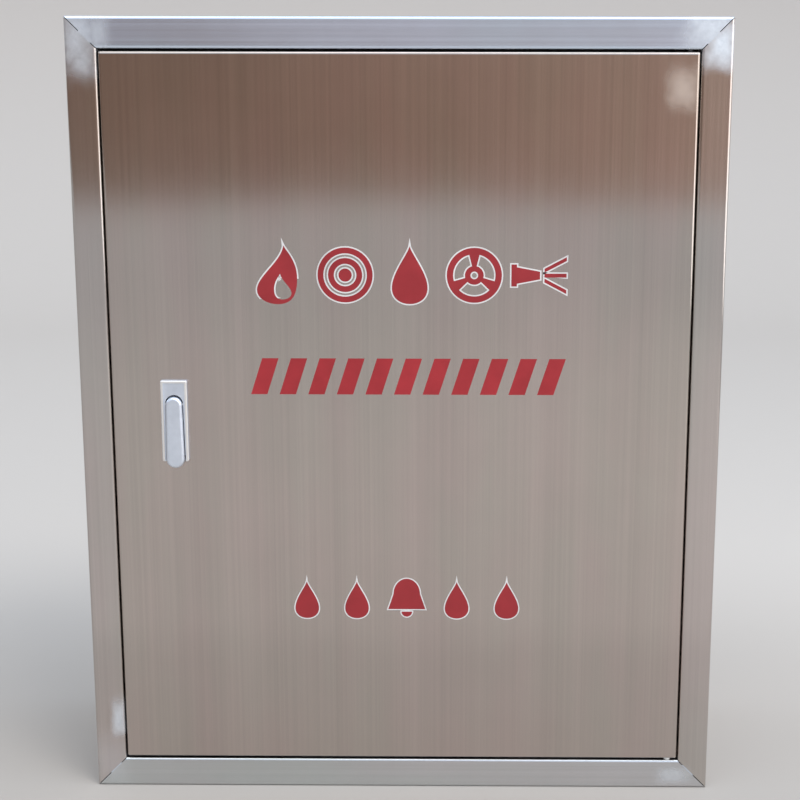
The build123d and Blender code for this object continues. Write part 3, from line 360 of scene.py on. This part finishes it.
def red_enamel():
    """Sprayed enamel: slight orange peel, and dusty in places."""
    n = Nodes("safety_red")
    peel = n.noise(420.0, 2.0, 0.5)
    dust = n.noise(18.0, 4.0, 0.65)
    colour = n.mix(n.remap(dust, 0.35, 0.75, 0.0, 0.6), (0.40, 0.012, 0.014), (0.50, 0.055, 0.045))
    rough = n.math("ADD", n.remap(dust, 0.3, 0.7, 0.26, 0.42), n.remap(peel, 0.3, 0.7, 0.0, 0.04))
    return n.finish(n.shader(colour, rough, 0.0, n.bump(peel, 0.25, 0.00025), coat=0.3))


def brass():
    n = Nodes("brass")
    turned = n.noise((60.0, 60.0, 1500.0), 2.0, 0.5)
    tarnish = n.noise(40.0, 4.0, 0.6)
    colour = n.mix(n.remap(tarnish, 0.35, 0.7, 0.0, 1.0), (0.72, 0.49, 0.20), (0.46, 0.29, 0.12))
    rough = n.math("ADD", n.remap(turned, 0.3, 0.7, 0.20, 0.30), n.remap(tarnish, 0.4, 0.7, 0.0, 0.12))
    return n.finish(n.shader(colour, rough, 1.0, n.bump(turned, 0.12, 0.00008)))


def cast_aluminium():
    n = Nodes("aluminium")
    pits = n.noise(700.0, 2.0, 0.6)
    cloud = n.noise(25.0, 3.0, 0.6)
    colour = n.mix(n.remap(cloud, 0.3, 0.7, 0.0, 1.0), (0.62, 0.63, 0.64), (0.75, 0.76, 0.77))
    rough = n.math("ADD", n.remap(cloud, 0.3, 0.7, 0.34, 0.44), n.remap(pits, 0.4, 0.7, 0.0, 0.06))
    return n.finish(n.shader(colour, rough, 1.0, n.bump(pits, 0.3, 0.00015)))


def printed_ink(name, colour):
    """Screen-printed ink: a thin satin film that lets the grain below ripple it a little."""
    n = Nodes(name)
    grain = n.noise((1500.0, 40.0, 12.0), 2.0, 0.5)
    wear = n.noise(30.0, 4.0, 0.6)
    darker = tuple(0.82 * c for c in colour)
    tone = n.mix(n.remap(wear, 0.35, 0.7, 0.0, 1.0), darker, colour)
    return n.finish(n.shader(tone, n.remap(wear, 0.3, 0.7, 0.36, 0.48), 0.0, n.bump(grain, 0.2, 0.00003)))


def floor_paint_and_painted_shade():
    """Pale paint, paler behind the cabinet and far in front; greyer in front of it as painted shade, and
    darkest in a painted shadow just before its face.
    """
    n = Nodes("studio_floor")
    cloud = n.noise(0.8, 3.0, 0.5)
    depth = n.axis(1)
    pale = (0.58, 0.54, 0.50)
    # painted shade: the paint is greyed in front of the cabinet
    front = n.mix(cloud, (0.445, 0.41, 0.375), (0.475, 0.44, 0.405))
    colour = n.mix(n.remap(depth, -9.0, -3.5, 0.8, 0.0, smooth=True), front, pale)
    # painted shadow: a darker strip just before the cabinet's face
    colour = n.mix(n.remap(depth, -0.68, -0.46, 0.0, 0.5, smooth=True), colour, (0.37, 0.34, 0.31))
    colour = n.mix(n.remap(depth, -0.3, 0.8, 0.0, 1.0, smooth=True), colour, pale)
    return n.finish(n.shader(colour, n.remap(cloud, 0.3, 0.7, 0.75, 0.85)))


def paint_nodes():
    """Gives every CAD node its material; the steel sheets differ in which way their grain runs, and also by
    painted reflection and painted shade: each part's copy of the steel has its own tint and brightness.
    """
    # painted reflection: one steel tinted warm on the door, cool and bright on the top rail, grey on the
    # bottom rail and neutral on the stile and box
    warm, neutral = (0.515, 0.455, 0.420), (0.545, 0.500, 0.475)
    cool, plain = (0.690, 0.795, 0.925), (0.595, 0.612, 0.622)
    door_skin = brushed_steel("steel_door", "Z", warm, spots=RUBBED_SPOTS)
    stile = brushed_steel("steel_stile", "Z", neutral, 1.0, DRESSED_SPOTS, True, 0.12)
    top_rail = brushed_steel("steel_top_rail", "X", cool, 1.0, DRESSED_SPOTS, True, 0.12)
    bottom_rail = brushed_steel("steel_bottom_rail", "X", plain, 1.0, DRESSED_SPOTS, True, 0.12)
    # painted shade: the box side and lid are darker copies of the same steel
    box_side_painted_shade = brushed_steel("steel_box", "Z", neutral, 0.97, dull=0.10)
    box_lid_painted_shade = brushed_steel("steel_lid", "X", neutral, 0.90, dull=0.22)
    by_slot = {
        "stainless": box_side_painted_shade,
        "stainless_weld": top_rail,
        "zinc_sheet": zinc_sheet(),
        "latch_chrome": satin_chrome("latch_chrome", False),
        "plated_fastener": plated(),
        "blackened_steel": matt_black("blackened_steel", (0.030, 0.030, 0.032), 800.0),
        "rubber_black": matt_black("rubber_black", (0.022, 0.022, 0.023), 900.0),
        "foam_black": matt_black("foam_black", (0.018, 0.018, 0.018), 1500.0),
        "nylon": nylon(),
        "safety_red": red_enamel(),
        "brass": brass(),
        "aluminium": cast_aluminium(),
    }
    by_node = {
        "door_panel": door_skin,
        "frame_left_stile": stile,
        "frame_right_stile": stile,
        "frame_top_rail": top_rail,
        "frame_bottom_rail": bottom_rail,
        "latch_housing": satin_chrome("latch_housing", True),
        "top_panel": box_lid_painted_shade,
        "bottom_panel": box_lid_painted_shade,
        "top_blanking_cap": box_lid_painted_shade,
        "top_stop": box_lid_painted_shade,
        "bottom_stop": box_lid_painted_shade,
    }
    slots = {part["node"]: part["material_slot"] for part in frame["record"]["subparts"]}
    for name, obj in frame["nodes"].items():
        material = by_node.get(name, by_slot[slots[name]])
        for material_slot in obj.material_slots:
            material_slot.material = material


# ---- printed marks: plain pictograms and bars, no lettering ----
OUTLINE_POINTS = 48
SECTOR_POINTS = 14
DOME_STEPS = 24


def circle(x, z, radius):
    turn = 2 * math.pi / OUTLINE_POINTS
    angles = [i * turn for i in range(OUTLINE_POINTS)]
    return [(x + radius * math.cos(a), z + radius * math.sin(a)) for a in angles]


def drop(x, z, width, height, lean=0.0):
    """A drop with its point up; lean bends it into a flame's tongue."""
    outline = []
    for i in range(OUTLINE_POINTS):
        t = 2 * math.pi * i / OUTLINE_POINTS
        up = math.cos(t)
        side = math.sin(t) * math.sin(t / 2) ** 1.6
        outline.append((x + width * 0.62 * side + lean * width * math.sin(2.4 * up), z + height * 0.5 * up))
    return outline


def sector(x, z, inner, outer, start, end):
    """A ring's slice between two angles in degrees."""
    last = SECTOR_POINTS - 1
    angles = [math.radians(start + (end - start) * i / last) for i in range(SECTOR_POINTS)]
    far = [(x + outer * math.cos(a), z + outer * math.sin(a)) for a in angles]
    near = [(x + inner * math.cos(a), z + inner * math.sin(a)) for a in reversed(angles)]
    return far + near


def bar(x, z, width, height, slant):
    """An upright bar, its top moved right by slant and its foot moved left."""
    half_w, half_h = width / 2, height / 2
    return [
        (x - half_w - slant, z - half_h),
        (x + half_w - slant, z - half_h),
        (x + half_w + slant, z + half_h),
        (x - half_w + slant, z + half_h),
    ]


def flame_sign(x, z, size):
    tongue = drop(x, z, 0.78 * size, size, 0.10)
    heart = drop(x + 0.01 * size, z - 0.20 * size, 0.34 * size, 0.44 * size, -0.08)
    return [tongue, heart]


def coil_sign(x, z, size):
    """A coiled hose: nested rings, alternately filled and open."""
    return [circle(x, z, share * size) for share in (0.50, 0.395, 0.31, 0.205, 0.12)]


def drop_sign(x, z, size):
    return [drop(x, z, 0.72 * size, size)]


def wheel_sign(x, z, size):
    """A handwheel: three gaps leave a rim, a boss and three spokes, the first of them upright."""
    spoke_half = 14
    gaps = []
    for spoke in (90, 210, 330):
        gaps.append(sector(x, z, 0.17 * size, 0.385 * size, spoke + spoke_half, spoke + 120 - spoke_half))
    return [circle(x, z, 0.5 * size), *gaps, circle(x, z, 0.07 * size)]


def nozzle_sign(x, z, size):
    left = x - 0.5 * size
    barrel = [
        (left, z - 0.20 * size),
        (left + 0.10 * size, z - 0.20 * size),
        (left + 0.10 * size, z - 0.15 * size),
        (left + 0.52 * size, z - 0.07 * size),
        (left + 0.52 * size, z + 0.07 * size),
        (left + 0.10 * size, z + 0.15 * size),
        (left + 0.10 * size, z + 0.20 * size),
        (left, z + 0.20 * size),
    ]
    jets = []
    start, end = left + 0.60 * size, left + size
    thick = 0.035 * size
    for rise in (-1, 0, 1):
        low, high = 0.09 * rise * size, 0.30 * rise * size
        lower = [(start, z + low - thick), (end, z + high - thick)]
        upper = [(end, z + high + thick), (start, z + low + thick)]
        jets.append(lower + upper)
    return [barrel, *jets]


def bell_sign(x, z, size):
    dome = []
    for i in range(DOME_STEPS + 1):
        t = math.pi * i / DOME_STEPS
        dome.append((x + 0.30 * size * math.cos(t), z + 0.08 * size + 0.36 * size * math.sin(t)))
    skirt = [(x - 0.42 * size, z - 0.28 * size), (x + 0.42 * size, z - 0.28 * size)]
    clapper = sector(x, z - 0.34 * size, 0.0, 0.12 * size, 180, 360)
    return [dome + skirt, clapper]


def printed_mark(name, loops, material, lift, spread=0.0):
    """A film of ink on the door: closed outlines, filled between them and widened by spread."""
    curve = bpy.data.curves.new(name, "CURVE")
    curve.dimensions = "2D"
    curve.fill_mode = "BOTH"
    curve.extrude = INK_FILM / 2
    curve.offset = spread
    for loop in loops:
        spline = curve.splines.new("POLY")
        spline.points.add(len(loop) - 1)
        for point, (x, z) in zip(spline.points, loop):
            point.co = (x, z, 0.0, 1.0)
        spline.use_cyclic_u = True
    source = bpy.data.objects.new(name + "_outline", curve)
    bpy.context.scene.collection.objects.link(source)
    bpy.context.view_layer.update()
    mesh = bpy.data.meshes.new_from_object(source.evaluated_get(bpy.context.evaluated_depsgraph_get()))
    bpy.data.objects.remove(source)
    bpy.data.curves.remove(curve)
    mesh.name = name
    mesh.transform(Matrix.Translation((0, FACE_Y - lift, 0)) @ Matrix.Rotation(math.pi / 2, 4, "X"))
    mesh.materials.clear()
    mesh.materials.append(material)
    piece = bpy.data.objects.new(name, mesh)
    bpy.context.scene.collection.objects.link(piece)
    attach(piece, "door")


def door_marks():
    red = printed_ink("printed_red", (0.35, 0.020, 0.026))
    bright_red = printed_ink("printed_bright_red", (0.40, 0.020, 0.027))
    white = printed_ink("printed_white", (0.78, 0.76, 0.74))
    # top row: five signs, each with its height
    signs = (
        (flame_sign, 0.059),
        (coil_sign, 0.055),
        (drop_sign, 0.058),
        (wheel_sign, 0.055),
        (nozzle_sign, 0.055),
    )
    top = []
    for i, (sign, size) in enumerate(signs):
        top += sign(SIGN_ROW_LEFT_X + SIGN_PITCH * i, SIGN_ROW_Z, size)
    printed_mark("mark_signs", top, red, INK_FILM)
    printed_mark("mark_signs_edge", top, white, INK_FILM / 2, SIGN_EDGE)
    # middle row: slanted bars
    width, height, slant = 0.0165, 0.037, 0.006
    middles = [BAR_ROW_LEFT_X + BAR_PITCH * i for i in range(BAR_COUNT)]
    bars = [bar(x, BAR_ROW_Z, width, height, slant) for x in middles]
    printed_mark("mark_bars", bars, bright_red, INK_FILM)
    # low row: a bell between two pairs of drops
    low = []
    for place in (-2, -1, 0, 1, 2):
        x = BELL_ROW_X + BELL_ROW_PITCH * place
        low += drop_sign(x, DROP_Z, 0.040) if place else bell_sign(x, BELL_Z, 0.046)
    printed_mark("mark_bell", low, red, INK_FILM)
    printed_mark("mark_bell_edge", low, white, INK_FILM / 2, BELL_EDGE)


# ---- the latch's return spring ----
def coil_spring():
    """The CAD spring's own mesh, copied to ride on the door in place of the CAD part, which is hidden."""
    cad = frame["nodes"]["bolt_spring"]
    coil = bpy.data.objects.new("coil_spring", cad.data.copy())
    coil.matrix_world = cad.matrix_world.copy()
    bpy.context.scene.collection.objects.link(coil)
    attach(coil, "door")
    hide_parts("bolt_spring")
    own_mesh(coil)


# ---- studio ----
def make_floor():
    """A pale floor that turns up into a wall behind, narrower in front of the object than behind it."""
    arc = [math.radians(angle) for angle in range(0, 91, 6)]
    profile = [(FLOOR_FRONT_Y, 0.0)]
    for a in arc:
        y = FLOOR_TURN_Y + FLOOR_TURN_RADIUS * math.sin(a)
        profile.append((y, FLOOR_TURN_RADIUS - FLOOR_TURN_RADIUS * math.cos(a)))
    profile.append((FLOOR_TURN_Y + FLOOR_TURN_RADIUS, WALL_TOP_Z))
    verts, faces = [], []
    for y, z in profile:
        half_width = 9.0 if y < 0 else 30.0
        verts += [(-half_width, y, z), (half_width, y, z)]
    for i in range(len(profile) - 1):
        faces.append((2 * i, 2 * i + 1, 2 * i + 3, 2 * i + 2))
    mesh = bpy.data.meshes.new("studio_floor")
    mesh.from_pydata(verts, [], faces)
    mesh.shade_smooth()
    mesh.materials.append(floor_paint_and_painted_shade())
    floor = bpy.data.objects.new("studio_floor", mesh)
    bpy.context.scene.collection.objects.link(floor)


def light(name, kind, place, aim, power, colour):
    data = bpy.data.lights.new(name, kind)
    data.energy = power
    data.color = colour
    lamp = bpy.data.objects.new(name, data)
    lamp.location = place
    lamp.rotation_mode = "QUATERNION"
    lamp.rotation_quaternion = (Vector(aim) - Vector(place)).to_track_quat("-Z", "Y")
    bpy.context.scene.collection.objects.link(lamp)
    return data


def panel_light(name, place, aim, power, colour, width, height):
    panel = light(name, "AREA", place, aim, power, colour)
    panel.shape = "RECTANGLE"
    panel.size, panel.size_y = width, height


def make_lights():
    """A wide, weak sun from the front right, a panel to the right of the camera and one overhead."""
    sun = light("sun", "SUN", (1.6, -1.9, 3.4), (0.0, 0.0, 0.3), 0.70, (1.0, 0.93, 0.84))
    sun.angle = math.radians(24)
    panel_light("side_panel", (2.3, -1.75, 1.4), (0.0, -1.75, 1.1), 42.0, (1.0, 1.0, 1.0), 3.3, 2.4)
    panel_light("overhead_panel", (0.0, -1.2, 3.3), (0.0, -0.9, 0.0), 24.0, (1.0, 0.99, 0.98), 3.0, 1.6)


def make_room():
    """The room that the steel mirrors: dim and warm low down, cool and bright from a little higher up."""
    world = bpy.data.worlds.new("room")
    bpy.context.scene.world = world
    world.use_nodes = True
    tree = world.node_tree
    direction = tree.nodes.new("ShaderNodeTexCoord")
    parts = tree.nodes.new("ShaderNodeSeparateXYZ")
    ramp = tree.nodes.new("ShaderNodeValToRGB")
    tree.links.new(direction.outputs["Generated"], parts.inputs[0])
    tree.links.new(parts.outputs["Z"], ramp.inputs["Fac"])

    def ramped(source, low, high, new_low, new_high):
        node = tree.nodes.new("ShaderNodeMapRange")
        tree.links.new(source, node.inputs["Value"])
        set_range(node, low, high, new_low, new_high)
        return node.outputs["Result"]

    # the room is greyer to the right, and low down it is brighter there
    greyer = tree.nodes.new("ShaderNodeMix")
    greyer.data_type = "RGBA"
    greyer.blend_type = "MULTIPLY"
    tree.links.new(ramped(parts.outputs["X"], -0.10, 0.25, 0.0, 1.0), greyer.inputs[0])
    tree.links.new(ramp.outputs["Color"], greyer.inputs[6])
    greyer.inputs[7].default_value = (1.0, 1.07, 1.14, 1.0)
    background = tree.nodes["Background"]
    tree.links.new(greyer.outputs[2], background.inputs["Color"])
    strength = tree.nodes.new("ShaderNodeMix")
    tree.links.new(ramped(parts.outputs["Z"], 0.10, 0.40, 0.0, 1.0), strength.inputs[0])
    tree.links.new(ramped(parts.outputs["X"], -0.22, 0.30, 0.88, 1.95), strength.inputs[2])
    strength.inputs[3].default_value = 1.18
    tree.links.new(strength.outputs[0], background.inputs["Strength"])

    # colours by the height that a direction points to, from level to straight up
    stops = (
        (0.0, (0.290, 0.202, 0.164)),
        (0.07, (0.300, 0.216, 0.178)),
        (0.26, (0.74, 0.82, 0.94)),
        (1.0, (0.82, 0.90, 1.0)),
    )
    elements = ramp.color_ramp.elements
    for index, (position, colour) in enumerate(stops):
        element = elements[index] if index < 2 else elements.new(position)
        element.position = position
        element.color = (*colour, 1.0)


make_camera()
make_floor()
make_lights()
make_room()
bpy.context.scene.view_settings.view_transform = "Standard"
paint_nodes()
door_marks()
coil_spring()
